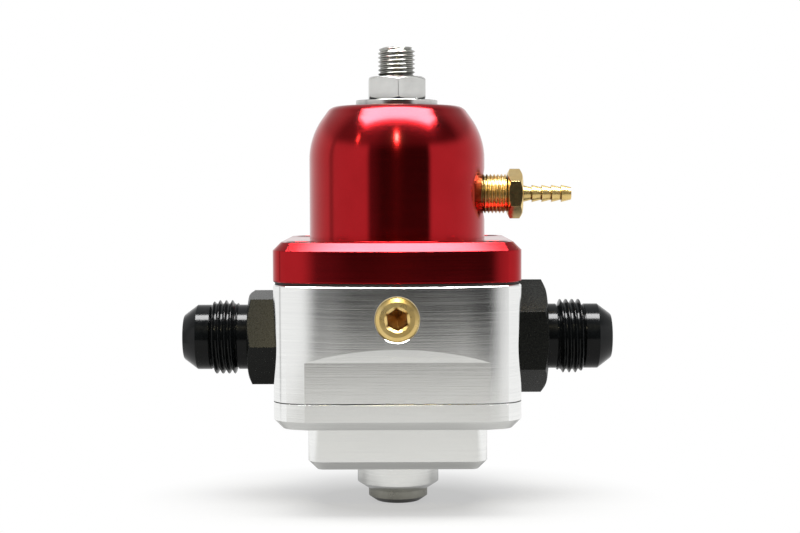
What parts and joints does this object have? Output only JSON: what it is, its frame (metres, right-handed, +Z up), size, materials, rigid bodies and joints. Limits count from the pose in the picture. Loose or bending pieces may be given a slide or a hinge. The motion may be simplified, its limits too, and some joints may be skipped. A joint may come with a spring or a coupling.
{
  "type": "fuel pressure regulator",
  "caption": "Return-style fuel pressure regulator: red domed spring bonnet, crowned aluminium body, black flare fittings, brass boost barb and plugged gauge and return ports.",
  "frame": {"origin": "on the housing's upright axis, at the foot of the return plug", "axes": "+Z up along the adjusting screw, +X to the outlet fitting and boost barb, -Y towards the gauge port"},
  "size_m": [0.1102, 0.0636, 0.1169],
  "materials": {
    "red_anodised": "deep red anodising, satin gloss",
    "machined_aluminium": "clear anodised, finely brushed",
    "black_anodised": "black anodising, satin",
    "brass": "machined, bright",
    "stainless": "machined, bright",
    "plated_steel": "zinc plated",
    "spring_steel": "drawn wire, oiled",
    "black_oxide": "black oxide",
    "nickel_plate": "nickel plated, slightly dull",
    "diaphragm_rubber": "fabric reinforced rubber, matt",
    "seal_rubber": "smooth rubber"
  },
  "bodies": {
    "housing": {"bonnet": "red_anodised", "flat_washer": "stainless", "clamp_screws": "black_oxide", "main_spring": "spring_steel", "diaphragm": "diaphragm_rubber", "valve_seat": "brass", "body": "machined_aluminium", "left_fitting": "black_anodised", "right_fitting": "black_anodised", "left_fitting_o_ring": "seal_rubber", "right_fitting_o_ring": "seal_rubber", "gauge_plug": "brass", "boost_barb": "brass", "base": "machined_aluminium", "base_o_ring": "seal_rubber", "return_plug": "nickel_plate", "return_plug_o_ring": "seal_rubber"},
    "seat": {"spring_seat": "plated_steel"},
    "adjuster": {"adjusting_screw": "stainless"},
    "lock_nut": {"jam_nut": "stainless"},
    "valve": {"spring_cup": "plated_steel", "lower_plate": "plated_steel", "valve_stem": "stainless", "stem_nut": "plated_steel", "valve_ball": "stainless"}
  },
  "joints": [
    {"name": "seat_slide", "type": "slide", "parent": "housing", "child": "seat", "axis": [0, 0, 1], "range_m": [-0.00423, 0.00105], "deforming": ["main_spring"]},
    {"name": "screw_turn", "type": "hinge", "parent": "seat", "child": "adjuster", "pos_m": [0, 0, 0.0876], "axis": [0, 0, 1], "range_deg": [-1440, 360]},
    {"name": "jam_nut_turn", "type": "hinge", "parent": "housing", "child": "lock_nut", "pos_m": [0, 0, 0.10635], "axis": [0, 0, 1], "range_deg": [0, 180]},
    {"name": "valve_lift", "type": "slide", "parent": "housing", "child": "valve", "axis": [0, 0, 1], "range_m": [0, 0.0012], "stiffness_N_per_m": 10000, "springref_m": -0.003, "deforming": ["main_spring", "diaphragm"]}
  ],
  "couplings": [
    {"joint": "screw_turn", "follows": "seat_slide", "rad_per_m": 5936.9}
  ]
}
